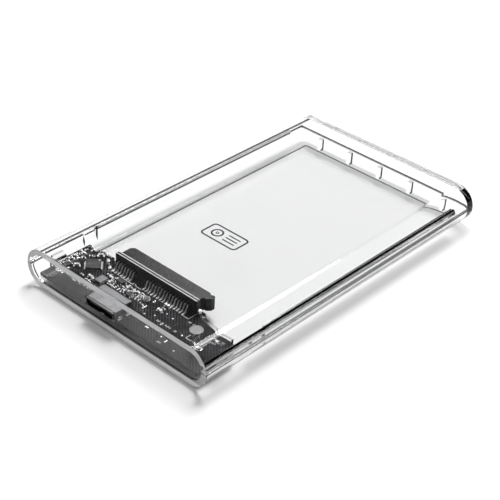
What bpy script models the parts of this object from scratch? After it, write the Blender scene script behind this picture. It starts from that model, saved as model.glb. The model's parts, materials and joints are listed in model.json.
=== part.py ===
"""Clear two-shell enclosure for a 2.5-inch disk drive, with its bridge board.

The case is a flattened tube. Its lower half is the base tray, its upper half is
the lid, which slides off the far end along rails on the tray. The board at the
near end carries a micro-B socket, facing out, and a 22-way drive socket, facing
the empty bay. Frame: X across, Y along (near end at -Y), Z up, origin at the
centre of the underside. Units are metres.
"""
import math

import bmesh
import bpy
from mathutils import Matrix, Vector

MM = 0.001

# Overall case
CASE_WIDTH = 80 * MM
CASE_LENGTH = 133 * MM
CASE_HEIGHT = 14 * MM
WALL = 2 * MM
GAP = 0.3 * MM                  # between neighbouring mouldings
SOLDER = 0.1 * MM               # between the board and what is soldered on it
ARC_STEPS = 20                  # chords in a quarter circle
EMBED = 0.5 * MM                # how far a joined feature sinks into its wall

# Near end wall, in the tray
PORT_WALL = 1 * MM
PORT_RECESS = 0.5 * MM
WINDOW_MARGIN = 0.4 * MM

# Slide rails of the tray and the grooves of the lid
RAIL_CLEARANCE = 0.5 * MM       # outer face of the rail, in from the shell's inner wall
RAIL_THICKNESS = 1 * MM
RAIL_RISE = 2.2 * MM            # rail top above the seam
HOOK_REACH = 0.8 * MM
HOOK_HEIGHT = 0.8 * MM
RAIL_START = 26.8 * MM          # from the near end
RAIL_STOP = 10 * MM             # from the far end
GUIDE_START = 21.2 * MM         # the short guide ahead of each rail
GUIDE_LENGTH = 4.4 * MM

# Stop ribs on the far wall
RIB_COUNT = 5
RIB_PITCH = 14 * MM
RIB_SHIFT = 0.8 * MM
RIB_WIDTH = 1.6 * MM
RIB_DEPTH = 1.7 * MM

# Circuit board
BOARD_SIDE_CLEARANCE = 0.85 * MM
BOARD_DEPTH = 21.1 * MM
BOARD_THICKNESS = 1.2 * MM
BOARD_LIFT = 1.2 * MM           # underside above the floor
REAR_CUT = 2.8 * MM             # rear edge beside the drive socket, in from the rear
REAR_CUT_FAR = 4.1 * MM
REAR_CUT_CORNER = 6.8 * MM
REAR_CUT_FIRST = 0.46           # corners of the cut, as shares of the free edge
REAR_CUT_SECOND = 0.78
NOTCH_CORNERS = (4.8 * MM, 4.6 * MM, 3 * MM, 1.2 * MM)  # left rear notch, from the left edge
NOTCH_DEPTH = 1.9 * MM
NOTCH_SHOULDER = 0.6 * MM
POST_RADIUS = 1.8 * MM
POST_FROM_SIDE = 5 * MM
POSTS_FROM_FRONT = (3 * MM, 14 * MM)
CLIP_WIDTH = 4.6 * MM
CLIP_FROM_FRONT = 7.4 * MM
CLIP_OVERLAP = 1.5 * MM
CLIP_RISE = 2.2 * MM
CLIP_LIP = 0.6 * MM
RIDGE_THICKNESS = 1 * MM
RIDGE_HEIGHT = 2.6 * MM

# Micro-B socket
USB_FROM_LEFT = 29.3 * MM       # centre, from the board's left edge
USB_WIDTH = 12.4 * MM
USB_HEIGHT = 2.9 * MM
USB_METAL = 0.3 * MM
USB_CHAMFER = 0.7 * MM
USB_DEPTH = 7.7 * MM
USB_NOTCH_X = 1.4 * MM
USB_NOTCH_WIDTH = 0.5 * MM
USB_NOTCH_DEPTH = 0.6 * MM
USB_FRONT = 0.3 * MM            # socket mouth behind the rim
USB_BODY_DEPTH = 1.5 * MM
USB_TONGUE_THICKNESS = 0.6 * MM
USB_TONGUES = ((-2.6 * MM, 5 * MM), (3.75 * MM, 2.6 * MM))

# 22-way drive socket
SATA_PITCH = 1.27 * MM
SIGNAL_WAYS = 7
POWER_WAYS = 15
SATA_BREAK = 5                  # pitches from the last signal way to the first power way
SATA_FROM_LEFT = 14.8 * MM      # body's left end, from the board's left edge
SATA_FIRST_WAY = 1.72 * MM      # first contact, from the body's left end
SATA_END = 1.75 * MM            # body beyond the last contact
BLOCK_FROM_REAR = 2.6 * MM      # near face, in from the board's rear edge
BLOCK_DEPTH = 1.6 * MM
BLOCK_HEIGHT = 4.7 * MM
BLOCK_EXTRA = 1.2 * MM          # block beyond the nose's right end
NOSE_DEPTH = 4.7 * MM
NOSE_HEIGHT = 4.9 * MM
NOSE_DROP = 1.2 * MM            # nose underside below the block's
NOSE_CHAMFER = 1.4 * MM
TAB_LENGTH = 2.4 * MM
TAB_DEPTH = 3.2 * MM
TAB_ROUND = 0.7 * MM
TAB_SET_BACK = 0.1 * MM         # tab's flat end and far face, in from its full size
TAB_CHAMFER = 1.2 * MM
SLOT_HEIGHT = 1.4 * MM
SLOT_ABOVE_NOSE = 1.8 * MM      # slot floor above the nose's underside
SLOT_MARGIN = 0.8 * MM
SLOT_DEPTH = 4.2 * MM
KEY_WIDTH = 0.8 * MM
KEY_DEPTH = 0.8 * MM
CONTACT_WIDTH = 0.4 * MM
CONTACT_THICKNESS = 0.2 * MM
TAIL_RUN = 1.1 * MM
TAIL_FOOT = 1 * MM
HOLD_DOWN = (0.8 * MM, 1.2 * MM, 1.6 * MM)

# Light guide above the status lamp
PIPE_FROM_RIGHT = 9 * MM
PIPE_FROM_FRONT = 7.8 * MM
PIPE_BELOW_LID = 1.8 * MM
PIPE_DISC_RADIUS = 2.2 * MM
PIPE_DISC_HEIGHT = 0.8 * MM
PIPE_STEM_RADIUS = 1.1 * MM
PIPE_FOOT_RADIUS = 1.7 * MM
PIPE_FOOT_HEIGHT = 1.2 * MM
LAMP = (1.2 * MM, 0.8 * MM, 0.5 * MM)

# Chips and passives. Places are in mm from the board's left front corner, turns in degrees.
CHIPS = (
    ("bridge_chip", (10.1, 13.2), (5 * MM, 5 * MM, 0.9 * MM), 45),
    ("memory_chip", (3.6, 7.4), (3 * MM, 2.4 * MM, 0.7 * MM), 0),
    ("regulator", (23.3, 12.9), (2.9 * MM, 1.6 * MM, 1.1 * MM), 0),
    ("surge_protector", (29.9, 10.4), (2.2 * MM, 1.3 * MM, 0.9 * MM), 90),
)
CRYSTAL = (3.2 * MM, 4 * MM, 0.8 * MM)
CRYSTAL_SPOT = (18, 9.4)
COIL_RADIUS = 1.4 * MM
COIL_HEIGHT = 1.2 * MM
COIL_NECK = 0.9 * MM
COIL_SPOT = (35.6, 12.4)
CAPACITOR = (1.6 * MM, 0.8 * MM, 0.8 * MM)
CAPACITOR_SPOTS = ((14.3, 8.2, 0), (7.7, 18.6, 45), (11.9, 17.9, -45), (15.2, 15.6, -45),
                   (20.9, 10.8, 90), (6.4, 9.4, 45), (27, 12.9, 90), (42.3, 11.6, 0), (42.3, 14.9, 0))
RESISTOR = (1 * MM, 0.5 * MM, 0.35 * MM)
RESISTOR_SPOTS = ((5.6, 16.1, 45), (6.8, 17.2, 45), (4.7, 13.8, 45), (2.6, 11.1, 0),
                  (11.4, 7.2, 0), (17.4, 13.2, 0), (42.3, 13.3, 0), (26.9, 15.4, 0))

# Levels worked out from the sizes above
NEAR = -CASE_LENGTH / 2
FAR = CASE_LENGTH / 2
SIDE = CASE_WIDTH / 2
SEAM = CASE_HEIGHT / 2
OUTER_RADIUS = CASE_HEIGHT / 2
INNER_RADIUS = OUTER_RADIUS - WALL
ARC_X = SIDE - OUTER_RADIUS
RAIL_X = SIDE - WALL - RAIL_CLEARANCE
FLOOR = WALL
CEILING = CASE_HEIGHT - WALL
BOARD_LOW = FLOOR + BOARD_LIFT
BOARD_RIGHT = ARC_X + math.sqrt(INNER_RADIUS ** 2 - (SEAM - BOARD_LOW) ** 2) - BOARD_SIDE_CLEARANCE
BOARD_LEFT = -BOARD_RIGHT
BOARD_FRONT = NEAR + PORT_RECESS + PORT_WALL + GAP
BOARD_REAR = BOARD_FRONT + BOARD_DEPTH
BOARD_TOP = BOARD_LOW + BOARD_THICKNESS
PAD_LEVEL = BOARD_TOP + SOLDER

for old in list(bpy.data.objects):
    bpy.data.objects.remove(old)

PARTS = bpy.data.collections.new("drive_enclosure")
CUTTERS = bpy.data.collections.new("cutters")
bpy.context.scene.collection.children.link(PARTS)
bpy.context.scene.collection.children.link(CUTTERS)


def material(name, colour, roughness, metallic=0.0, transmission=0.0):
    """A Principled material."""
    made = bpy.data.materials.new(name)
    made.use_nodes = True
    shader = made.node_tree.nodes["Principled BSDF"]
    shader.inputs["Base Color"].default_value = (*colour, 1)
    shader.inputs["Roughness"].default_value = roughness
    shader.inputs["Metallic"].default_value = metallic
    shader.inputs["Transmission Weight"].default_value = transmission
    return made


CLEAR = material("clear_plastic", (0.94, 0.95, 0.96), 0.05, transmission=1.0)
BOARD = material("board_black", (0.045, 0.045, 0.05), 0.45)
BLACK = material("socket_black", (0.05, 0.05, 0.05), 0.5)
STEEL = material("plated_steel", (0.55, 0.55, 0.56), 0.3, metallic=1.0)
TIN = material("tinned_metal", (0.85, 0.85, 0.84), 0.25, metallic=1.0)
CHIP = material("chip_black", (0.03, 0.03, 0.035), 0.5)
CERAMIC = material("capacitor_brown", (0.42, 0.36, 0.3), 0.5)
RESIST = material("resistor_black", (0.04, 0.04, 0.05), 0.4)
FERRITE = material("ferrite_grey", (0.12, 0.12, 0.13), 0.6)
LAMP_WHITE = material("lamp_white", (0.9, 0.9, 0.86), 0.3)


# Solids: each of these returns a closed mesh

def mesh_of(bm):
    """Turn a bmesh into a mesh."""
    made = bpy.data.meshes.new("solid")
    bm.to_mesh(made)
    bm.free()
    return made


def box(low, high):
    """A box between two corners."""
    low = Vector(low)
    high = Vector(high)
    bm = bmesh.new()
    place = Matrix.Translation((low + high) / 2) @ Matrix.Diagonal((*(high - low), 1))
    bmesh.ops.create_cube(bm, size=1, matrix=place)
    return mesh_of(bm)


def turned_box(centre, size, angle):
    """A box on a point, centre of its underside, turned about Z."""
    bm = bmesh.new()
    place = Matrix.Translation(centre) @ Matrix.Rotation(angle, 4, "Z")
    place = place @ Matrix.Translation((0, 0, size[2] / 2)) @ Matrix.Diagonal((*size, 1))
    bmesh.ops.create_cube(bm, size=1, matrix=place)
    return mesh_of(bm)


def cylinder(centre, radius, height, segments=24):
    """An upright cylinder on a point."""
    bm = bmesh.new()
    place = Matrix.Translation(Vector(centre) + Vector((0, 0, height / 2)))
    bmesh.ops.create_cone(bm, cap_ends=True, segments=segments, radius1=radius,
                          radius2=radius, depth=height, matrix=place)
    return mesh_of(bm)


AXIS_TURN = {
    "X": Matrix(((0, 0, 1, 0), (1, 0, 0, 0), (0, 1, 0, 0), (0, 0, 0, 1))),
    "Y": Matrix(((1, 0, 0, 0), (0, 0, -1, 0), (0, 1, 0, 0), (0, 0, 0, 1))),
    "Z": Matrix.Identity(4),
}


def prism(axis, start, stop, *outlines):
    """A flat outline, with holes if more are given, drawn out along an axis.

    The outline's two numbers are the other two axes in X, Y, Z order.
    """
    curve = bpy.data.curves.new("outline", "CURVE")
    curve.dimensions = "2D"
    curve.fill_mode = "BOTH"
    curve.extrude = (stop - start) / 2
    for outline in outlines:
        spline = curve.splines.new("POLY")
        spline.points.add(len(outline) - 1)
        for point, (a, b) in zip(spline.points, outline):
            point.co = (a, b, 0, 1)
        spline.use_cyclic_u = True
    drawn = bpy.data.objects.new("outline", curve)
    CUTTERS.objects.link(drawn)
    bpy.context.view_layer.update()
    flat = bpy.data.meshes.new_from_object(drawn.evaluated_get(bpy.context.evaluated_depsgraph_get()))
    bpy.data.objects.remove(drawn)
    bm = bmesh.new()
    bm.from_mesh(flat)
    bmesh.ops.remove_doubles(bm, verts=bm.verts, dist=0.001 * MM)
    bmesh.ops.transform(bm, matrix=AXIS_TURN[axis], verts=bm.verts)
    shift = Vector((0, 0, 0))
    shift["XYZ".index(axis)] = (start + stop) / 2
    bmesh.ops.translate(bm, verts=bm.verts, vec=shift)
    bmesh.ops.recalc_face_normals(bm, faces=bm.faces)
    return mesh_of(bm)


def arc(centre, radius, first, last):
    """Points of an arc, with its angles in degrees."""
    steps = max(1, round(abs(last - first) / 90 * ARC_STEPS))
    angles = [math.radians(first + (last - first) * i / steps) for i in range(steps + 1)]
    return [(centre[0] + radius * math.cos(a), centre[1] + radius * math.sin(a)) for a in angles]


def joined(meshes):
    """Several separate solids in one mesh."""
    bm = bmesh.new()
    for mesh in meshes:
        bm.from_mesh(mesh)
    return mesh_of(bm)


# Objects and their Boolean modifiers

def piece(name, meshes, finish):
    """One named sub-part."""
    made = bpy.data.objects.new(name, joined(meshes))
    made.data.materials.append(finish)
    PARTS.objects.link(made)
    return made


def combine(target, meshes, operation):
    """Cut or join separate solids with a Boolean modifier."""
    tool = bpy.data.objects.new(target.name + "_" + operation.lower(), joined(meshes))
    tool.hide_render = True
    tool.display_type = "WIRE"
    CUTTERS.objects.link(tool)
    modifier = target.modifiers.new(operation.lower(), "BOOLEAN")
    modifier.operation = operation
    modifier.solver = "EXACT"
    modifier.object = tool


def mirrored_x(outline):
    """The same outline on the other side."""
    return [(-x, z) for x, z in outline]


# Case shells

def half_tube(radius, side, up):
    """Outline of half the flattened tube, cut off level at `side` above or below the seam."""
    right = (ARC_X, SEAM)
    left = (-ARC_X, SEAM)
    sign = 1 if up else -1
    lean = math.degrees(math.asin(side / radius)) * sign
    return arc(right, radius, lean, 90 * sign) + arc(left, radius, 90 * sign, 180 * sign - lean)


def cavity(up):
    """The hollow of a shell: open at the seam and at the near end."""
    sign = 1 if up else -1
    outline = arc((ARC_X, SEAM), INNER_RADIUS, 0, 90 * sign)
    outline += arc((-ARC_X, SEAM), INNER_RADIUS, 90 * sign, 180 * sign)
    beyond = SEAM - sign * WALL
    outline += [(-ARC_X - INNER_RADIUS, beyond), (ARC_X + INNER_RADIUS, beyond)]
    return prism("Y", NEAR - WALL, FAR - WALL, outline)


def port_wall_outline():
    """End wall: sunk into the tray below the seam, clear of the lid above it."""
    low_radius = INNER_RADIUS + EMBED
    high_radius = INNER_RADIUS - GAP
    lean = math.degrees(math.asin(GAP / low_radius))
    rise = math.degrees(math.asin(GAP / high_radius))
    right = arc((ARC_X, SEAM), low_radius, -90, -lean)
    right += arc((ARC_X, SEAM), high_radius, -rise, 90)
    return right + [(-x, z) for x, z in reversed(right)]


def foot(x):
    """Height of the middle of the tray's curved wall at a place across the case."""
    middle = (OUTER_RADIUS + INNER_RADIUS) / 2
    return SEAM - math.sqrt(middle ** 2 - (x - ARC_X) ** 2)


def rail_outline():
    """Upright with an outward hook at its top."""
    outer = RAIL_X
    inner = outer - RAIL_THICKNESS
    top = SEAM + RAIL_RISE
    under = top - HOOK_HEIGHT
    return [(inner, foot(inner)), (outer, foot(outer)), (outer, under), (outer + HOOK_REACH, under),
            (outer + HOOK_REACH, top), (inner, top)]


def guide_outline():
    """Upright ahead of the rail, without a hook."""
    outer = RAIL_X
    inner = outer - RAIL_THICKNESS
    top = SEAM + RAIL_RISE - HOOK_HEIGHT
    return [(inner, foot(inner)), (outer, foot(outer)), (outer, top), (inner, top)]


def clip_outline():
    """Snap clip that holds the board's side edge down."""
    edge = BOARD_RIGHT
    stem = edge + GAP
    back = stem + RAIL_THICKNESS
    lip = BOARD_TOP + GAP
    top = BOARD_TOP + CLIP_RISE
    return [(stem, foot(stem)), (back, foot(back)), (back, top), (stem, top),
            (edge - CLIP_OVERLAP, lip + CLIP_LIP), (edge - CLIP_OVERLAP, lip), (stem, lip)]


def usb_centre():
    """Socket centre across the case."""
    return BOARD_LEFT + USB_FROM_LEFT


def sata_right():
    """Right end of the drive socket's nose."""
    ways = SIGNAL_WAYS + POWER_WAYS + SATA_BREAK - 2
    return BOARD_LEFT + SATA_FROM_LEFT + SATA_FIRST_WAY + ways * SATA_PITCH + SATA_END


def socket_end():
    """Where the drive socket and its right hold-down are passed."""
    return sata_right() + BLOCK_EXTRA + HOLD_DOWN[0] + 3 * GAP


def board_right_rear():
    """Rear edge of the board beside the drive socket, from the socket to the right side."""
    start = socket_end()
    free = BOARD_RIGHT - start
    return [(start, BOARD_REAR - REAR_CUT), (start + free * REAR_CUT_FIRST, BOARD_REAR - REAR_CUT_FAR),
            (start + free * REAR_CUT_SECOND, BOARD_REAR - REAR_CUT_FAR),
            (BOARD_RIGHT, BOARD_REAR - REAR_CUT_CORNER)]


def base_tray():
    """Lower half of the case, with everything moulded into it."""
    tray = piece("base_tray", [prism("Y", NEAR, FAR, half_tube(OUTER_RADIUS, GAP / 2, False))], CLEAR)
    combine(tray, [cavity(False)], "DIFFERENCE")

    wall_front = NEAR + PORT_RECESS
    wall = prism("Y", wall_front, wall_front + PORT_WALL, port_wall_outline())
    combine(tray, [wall], "UNION")

    rails = []
    start = NEAR + RAIL_START
    stop = FAR - RAIL_STOP
    guide = NEAR + GUIDE_START
    for mirror in (False, True):
        outline = rail_outline()
        short = guide_outline()
        clip = clip_outline()
        if mirror:
            outline = mirrored_x(outline)
            short = mirrored_x(short)
            clip = mirrored_x(clip)
        rails.append(prism("Y", start, stop, outline))
        rails.append(prism("Y", guide, guide + GUIDE_LENGTH, short))
        middle = BOARD_FRONT + CLIP_FROM_FRONT
        rails.append(prism("Y", middle - CLIP_WIDTH / 2, middle + CLIP_WIDTH / 2, clip))
    combine(tray, rails, "UNION")

    low = FLOOR - EMBED
    fittings = []
    rib_back = FAR - WALL + EMBED
    for i in range(RIB_COUNT):
        x = RIB_SHIFT + (i - (RIB_COUNT - 1) / 2) * RIB_PITCH
        fittings.append(box((x - RIB_WIDTH / 2, FAR - WALL - RIB_DEPTH, low),
                            (x + RIB_WIDTH / 2, rib_back, SEAM - GAP)))
    for x in (BOARD_LEFT + POST_FROM_SIDE, BOARD_RIGHT - POST_FROM_SIDE):
        for back in POSTS_FROM_FRONT:
            fittings.append(cylinder((x, BOARD_FRONT + back, low), POST_RADIUS, BOARD_LOW - GAP - low))
    edge = board_right_rear()
    inner = [(x, y + GAP) for x, y in edge[:3]]
    outer = [(x, y + GAP + RIDGE_THICKNESS) for x, y in edge[:3]]
    fittings.append(prism("Z", low, FLOOR + RIDGE_HEIGHT, inner + list(reversed(outer))))
    combine(tray, fittings, "UNION")

    half = USB_WIDTH / 2 + WINDOW_MARGIN
    window = box((usb_centre() - half, NEAR - WALL, PAD_LEVEL - WINDOW_MARGIN),
                 (usb_centre() + half, BOARD_FRONT, PAD_LEVEL + USB_HEIGHT + WINDOW_MARGIN))
    combine(tray, [window], "DIFFERENCE")


def lid():
    """Upper half of the case, with a groove for each rail."""
    cover = piece("lid", [prism("Y", NEAR, FAR, half_tube(OUTER_RADIUS, GAP / 2, True))], CLEAR)
    combine(cover, [cavity(True)], "DIFFERENCE")
    outer = RAIL_X + HOOK_REACH + GAP
    inner = RAIL_X - EMBED
    top = SEAM + RAIL_RISE + GAP
    low = SEAM + RAIL_RISE - HOOK_HEIGHT - GAP
    stop = FAR - RAIL_STOP + GAP
    grooves = [box((inner, NEAR - WALL, low), (outer, stop, top)),
               box((-outer, NEAR - WALL, low), (-inner, stop, top))]
    combine(cover, grooves, "DIFFERENCE")


# Board and sockets

def circuit_board():
    """Board outline, with a notch at its left rear and a cut-back right rear."""
    left = BOARD_LEFT
    rear = BOARD_REAR
    outline = [(left, BOARD_FRONT), (BOARD_RIGHT, BOARD_FRONT)]
    outline += reversed(board_right_rear())
    first, second, third, fourth = (left + corner for corner in NOTCH_CORNERS)
    outline += [(socket_end(), rear), (first, rear), (second, rear - NOTCH_DEPTH),
                (third, rear - NOTCH_DEPTH), (fourth, rear - NOTCH_SHOULDER),
                (left, rear - NOTCH_SHOULDER)]
    piece("circuit_board", [prism("Z", BOARD_LOW, BOARD_TOP, outline)], BOARD)


def usb_outline(inset):
    """The socket's two-bay cross-section, drawn in by an inset."""
    half = USB_WIDTH / 2 - inset
    low = PAD_LEVEL + inset
    high = PAD_LEVEL + USB_HEIGHT - inset
    notch = USB_NOTCH_WIDTH / 2 + inset
    peak = low + USB_NOTCH_DEPTH
    slope = USB_NOTCH_DEPTH
    points = [(-half, high), (-half, low + USB_CHAMFER), (-half + USB_CHAMFER, low),
              (USB_NOTCH_X - notch - slope, low), (USB_NOTCH_X - notch, peak),
              (USB_NOTCH_X + notch, peak), (USB_NOTCH_X + notch + slope, low),
              (half - USB_CHAMFER, low), (half, low + USB_CHAMFER), (half, high)]
    return [(usb_centre() + x, z) for x, z in points]


def usb_socket():
    """Metal shell, and a black insulator with two tongues."""
    front = NEAR + USB_FRONT
    back = front + USB_DEPTH
    tube = prism("Y", front, back, usb_outline(0), usb_outline(USB_METAL))
    piece("usb_shell", [tube], STEEL)

    body_front = back - USB_METAL - USB_BODY_DEPTH
    body = prism("Y", body_front, back - USB_METAL, usb_outline(USB_METAL + SOLDER))
    insulator = piece("usb_insulator", [body], BLACK)
    high = PAD_LEVEL + USB_HEIGHT - USB_METAL - 2 * GAP
    low = high - USB_TONGUE_THICKNESS
    tongues = []
    for shift, width in USB_TONGUES:
        middle = usb_centre() + shift
        tongues.append(box((middle - width / 2, front + 2 * GAP, low),
                           (middle + width / 2, body_front + EMBED, high)))
    combine(insulator, tongues, "UNION")


def contact_places(first, count):
    """Places across the case of a row of drive contacts."""
    start = BOARD_LEFT + SATA_FROM_LEFT + SATA_FIRST_WAY
    return [start + (first + i) * SATA_PITCH for i in range(count)]


def drive_socket():
    """Black housing with its key slots, and one bent contact for each way."""
    left = BOARD_LEFT + SATA_FROM_LEFT
    right = sata_right()
    near = BOARD_REAR - BLOCK_FROM_REAR
    block_back = near + BLOCK_DEPTH
    nose_near = BOARD_REAR + GAP
    nose_far = nose_near + NOSE_DEPTH
    nose_low = PAD_LEVEL - NOSE_DROP
    nose_top = nose_low + NOSE_HEIGHT
    block_top = PAD_LEVEL + BLOCK_HEIGHT
    section = [(near, PAD_LEVEL), (nose_near, PAD_LEVEL), (nose_near, nose_low),
               (nose_far, nose_low), (nose_far, nose_top), (block_back, nose_top),
               (block_back, block_top), (near, block_top)]
    housing = piece("sata_housing", [prism("X", left, right, section)], BLACK)
    ear = box((right - EMBED, near + SOLDER, PAD_LEVEL + SOLDER),
              (right + BLOCK_EXTRA, block_back - SOLDER, block_top - SOLDER))
    tab_end = right + TAB_LENGTH - TAB_SET_BACK
    tab_far = nose_far - TAB_SET_BACK
    tab_near = nose_far - TAB_DEPTH
    tab_outline = [(right - EMBED, tab_far - TAB_ROUND)]
    tab_outline += arc((tab_end - TAB_ROUND, tab_far - TAB_ROUND), TAB_ROUND, 90, 0)
    tab_outline += [(tab_end, tab_near + TAB_CHAMFER), (right + TAB_LENGTH - TAB_CHAMFER, tab_near),
                    (right - EMBED, tab_near)]
    tab = prism("Z", nose_low + GAP, nose_top - SOLDER, tab_outline)
    combine(housing, [ear, tab], "UNION")

    corner = prism("Z", nose_low - GAP, nose_top + GAP,
                   [(left - GAP, nose_far - NOSE_CHAMFER), (left + NOSE_CHAMFER, nose_far + GAP),
                    (left - GAP, nose_far + GAP)])
    combine(housing, [corner], "DIFFERENCE")

    slot_low = nose_low + SLOT_ABOVE_NOSE
    slot_high = slot_low + SLOT_HEIGHT
    slot_back = nose_far - SLOT_DEPTH
    rows = {
        "sata_signal_contact": contact_places(0, SIGNAL_WAYS),
        "sata_power_contact": contact_places(SIGNAL_WAYS - 1 + SATA_BREAK, POWER_WAYS),
    }
    contact_low = slot_high + SOLDER
    contact_high = contact_low + CONTACT_THICKNESS
    slots = []
    channels = []
    for row in rows.values():
        first = row[0] - SLOT_MARGIN
        last = row[-1] + SLOT_MARGIN
        slots.append(prism("Y", slot_back, nose_far + GAP,
                           [(first, slot_low - KEY_DEPTH), (first + KEY_WIDTH, slot_low - KEY_DEPTH),
                            (first + KEY_WIDTH, slot_low), (last, slot_low), (last, slot_high),
                            (first, slot_high)]))
        for x in row:
            half = CONTACT_WIDTH / 2 + GAP
            channels.append(box((x - half, near - GAP, slot_high - EMBED),
                                (x + half, nose_far - 2 * GAP, contact_high + GAP)))
    combine(housing, slots, "DIFFERENCE")
    combine(housing, channels, "DIFFERENCE")

    tip = nose_far - 3 * GAP
    bend = near - 2 * GAP
    heel = bend - TAIL_RUN
    toe = heel - TAIL_FOOT
    sole = PAD_LEVEL
    thick = CONTACT_THICKNESS
    ribbon = [(tip, contact_low), (tip, contact_high), (bend - thick, contact_high),
              (heel - thick, sole + thick), (toe, sole + thick), (toe, sole),
              (heel, sole), (bend, contact_low)]
    for name, row in rows.items():
        for number, x in enumerate(row, 1):
            bent = prism("X", x - CONTACT_WIDTH / 2, x + CONTACT_WIDTH / 2, ribbon)
            piece(f"{name}_{number}", [bent], TIN)

    across, along, tall = HOLD_DOWN
    middle = near + BLOCK_DEPTH / 2
    for name, edge, side in (("left", left - GAP, -1), ("right", right + BLOCK_EXTRA + GAP, 1)):
        x = edge + side * across / 2
        tab = turned_box((x, middle, PAD_LEVEL), (across, along, tall), 0)
        piece(f"sata_hold_down_{name}", [tab], TIN)


# What is soldered on the board

def spot(x, y):
    """A place on the board, measured in mm from its left front corner."""
    return (BOARD_LEFT + x * MM, BOARD_FRONT + y * MM, PAD_LEVEL)


def chips():
    """Bridge chip on its corner, memory, regulator, surge protector and crystal."""
    for name, place, size, degrees in CHIPS:
        piece(name, [turned_box(spot(*place), size, math.radians(degrees))], CHIP)
    piece("crystal_can", [turned_box(spot(*CRYSTAL_SPOT), CRYSTAL, 0)], STEEL)


def turned(name, profile, centre, finish, steps=32):
    """A turned piece: its profile runs down the outer side from the axis to the axis."""
    bm = bmesh.new()
    points = [bm.verts.new((radius, 0, z)) for radius, z in profile]
    for a, b in zip(points, points[1:]):
        bm.edges.new((a, b))
    made = bpy.data.objects.new(name, mesh_of(bm))
    made.data.materials.append(finish)
    made.location = centre
    screw = made.modifiers.new("turn", "SCREW")
    screw.steps = steps
    screw.render_steps = steps
    screw.use_merge_vertices = True
    screw.merge_threshold = 0.01 * MM
    PARTS.objects.link(made)


def coil():
    """Drum coil: two flanges and a waist."""
    rim = COIL_HEIGHT / 4
    turned("choke_coil", [(0, COIL_HEIGHT), (COIL_RADIUS, COIL_HEIGHT),
                          (COIL_RADIUS, COIL_HEIGHT - rim), (COIL_NECK, COIL_HEIGHT - rim),
                          (COIL_NECK, rim), (COIL_RADIUS, rim), (COIL_RADIUS, 0), (0, 0)],
           spot(*COIL_SPOT), FERRITE, 24)


def passives():
    """Capacitors and resistors, one solid each."""
    for name, size, places, finish in (("capacitor", CAPACITOR, CAPACITOR_SPOTS, CERAMIC),
                                       ("resistor", RESISTOR, RESISTOR_SPOTS, RESIST)):
        for number, (x, y, degrees) in enumerate(places, 1):
            body = turned_box(spot(x, y), size, math.radians(degrees))
            piece(f"{name}_{number}", [body], finish)


def lamp_and_pipe():
    """Status lamp on the board and the clear guide that stands over it."""
    x = BOARD_RIGHT - PIPE_FROM_RIGHT
    y = BOARD_FRONT + PIPE_FROM_FRONT
    piece("status_lamp", [turned_box((x, y, PAD_LEVEL), LAMP, 0)], LAMP_WHITE)
    top = CEILING - PIPE_BELOW_LID - PAD_LEVEL
    under = top - PIPE_DISC_HEIGHT
    socket = PIPE_FOOT_RADIUS - EMBED
    turned("light_pipe", [(0, top), (PIPE_DISC_RADIUS, top), (PIPE_DISC_RADIUS, under),
                          (PIPE_STEM_RADIUS, under - PIPE_STEM_RADIUS / 2),
                          (PIPE_STEM_RADIUS, PIPE_FOOT_HEIGHT + GAP),
                          (PIPE_FOOT_RADIUS, PIPE_FOOT_HEIGHT),
                          (PIPE_FOOT_RADIUS, 0), (socket, 0), (socket, PIPE_FOOT_HEIGHT - GAP),
                          (0, PIPE_FOOT_HEIGHT - GAP)],
           (x, y, PAD_LEVEL), CLEAR)


base_tray()
lid()
circuit_board()
usb_socket()
drive_socket()
chips()
coil()
passives()
lamp_and_pipe()
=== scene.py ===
# %% [markdown]
# # A clear drive enclosure
# The real object is two shells of clear plastic round a black board with two sockets.
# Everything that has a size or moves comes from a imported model, the frame. This file
# dresses it with fine edges, small parts and finishes. A free second model could be
# fitted to the frame afterwards, but a piece that reads its place from the frame can
# never drift away from the part that it belongs to.

# %% Load the frame
import json
import math
import random

import bmesh
import bpy
from mathutils import Matrix, Vector


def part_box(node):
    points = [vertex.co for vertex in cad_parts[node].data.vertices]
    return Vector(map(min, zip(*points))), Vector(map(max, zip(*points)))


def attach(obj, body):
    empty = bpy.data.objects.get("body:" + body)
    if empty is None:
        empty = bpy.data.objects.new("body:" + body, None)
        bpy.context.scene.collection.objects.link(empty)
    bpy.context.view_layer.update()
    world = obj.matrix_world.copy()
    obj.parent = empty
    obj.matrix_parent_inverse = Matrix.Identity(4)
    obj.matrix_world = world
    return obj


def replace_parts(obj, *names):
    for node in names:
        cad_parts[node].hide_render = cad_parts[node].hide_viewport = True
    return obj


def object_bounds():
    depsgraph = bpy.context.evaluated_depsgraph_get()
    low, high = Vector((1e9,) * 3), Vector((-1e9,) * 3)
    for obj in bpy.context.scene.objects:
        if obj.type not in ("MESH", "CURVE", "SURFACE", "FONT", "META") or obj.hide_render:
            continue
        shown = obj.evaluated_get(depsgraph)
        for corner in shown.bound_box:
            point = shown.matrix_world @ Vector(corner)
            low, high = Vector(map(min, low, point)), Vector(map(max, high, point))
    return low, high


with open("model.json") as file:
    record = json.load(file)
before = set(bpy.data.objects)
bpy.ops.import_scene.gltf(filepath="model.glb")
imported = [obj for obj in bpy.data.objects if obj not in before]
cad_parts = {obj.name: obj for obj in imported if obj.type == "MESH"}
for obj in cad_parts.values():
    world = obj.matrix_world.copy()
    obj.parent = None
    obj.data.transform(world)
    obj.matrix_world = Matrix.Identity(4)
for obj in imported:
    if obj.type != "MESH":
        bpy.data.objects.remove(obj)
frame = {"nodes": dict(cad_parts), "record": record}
CAD_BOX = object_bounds()
NODES = frame["nodes"]
MM = 0.001
SLOT_OF_NODE = {part["node"]: part["material_slot"] for part in frame["record"]["subparts"]}
BODY_OF_NODE = {node: body for body, nodes in frame["record"]["behaviour"]["bodies"].items()
                for node in nodes}
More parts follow.
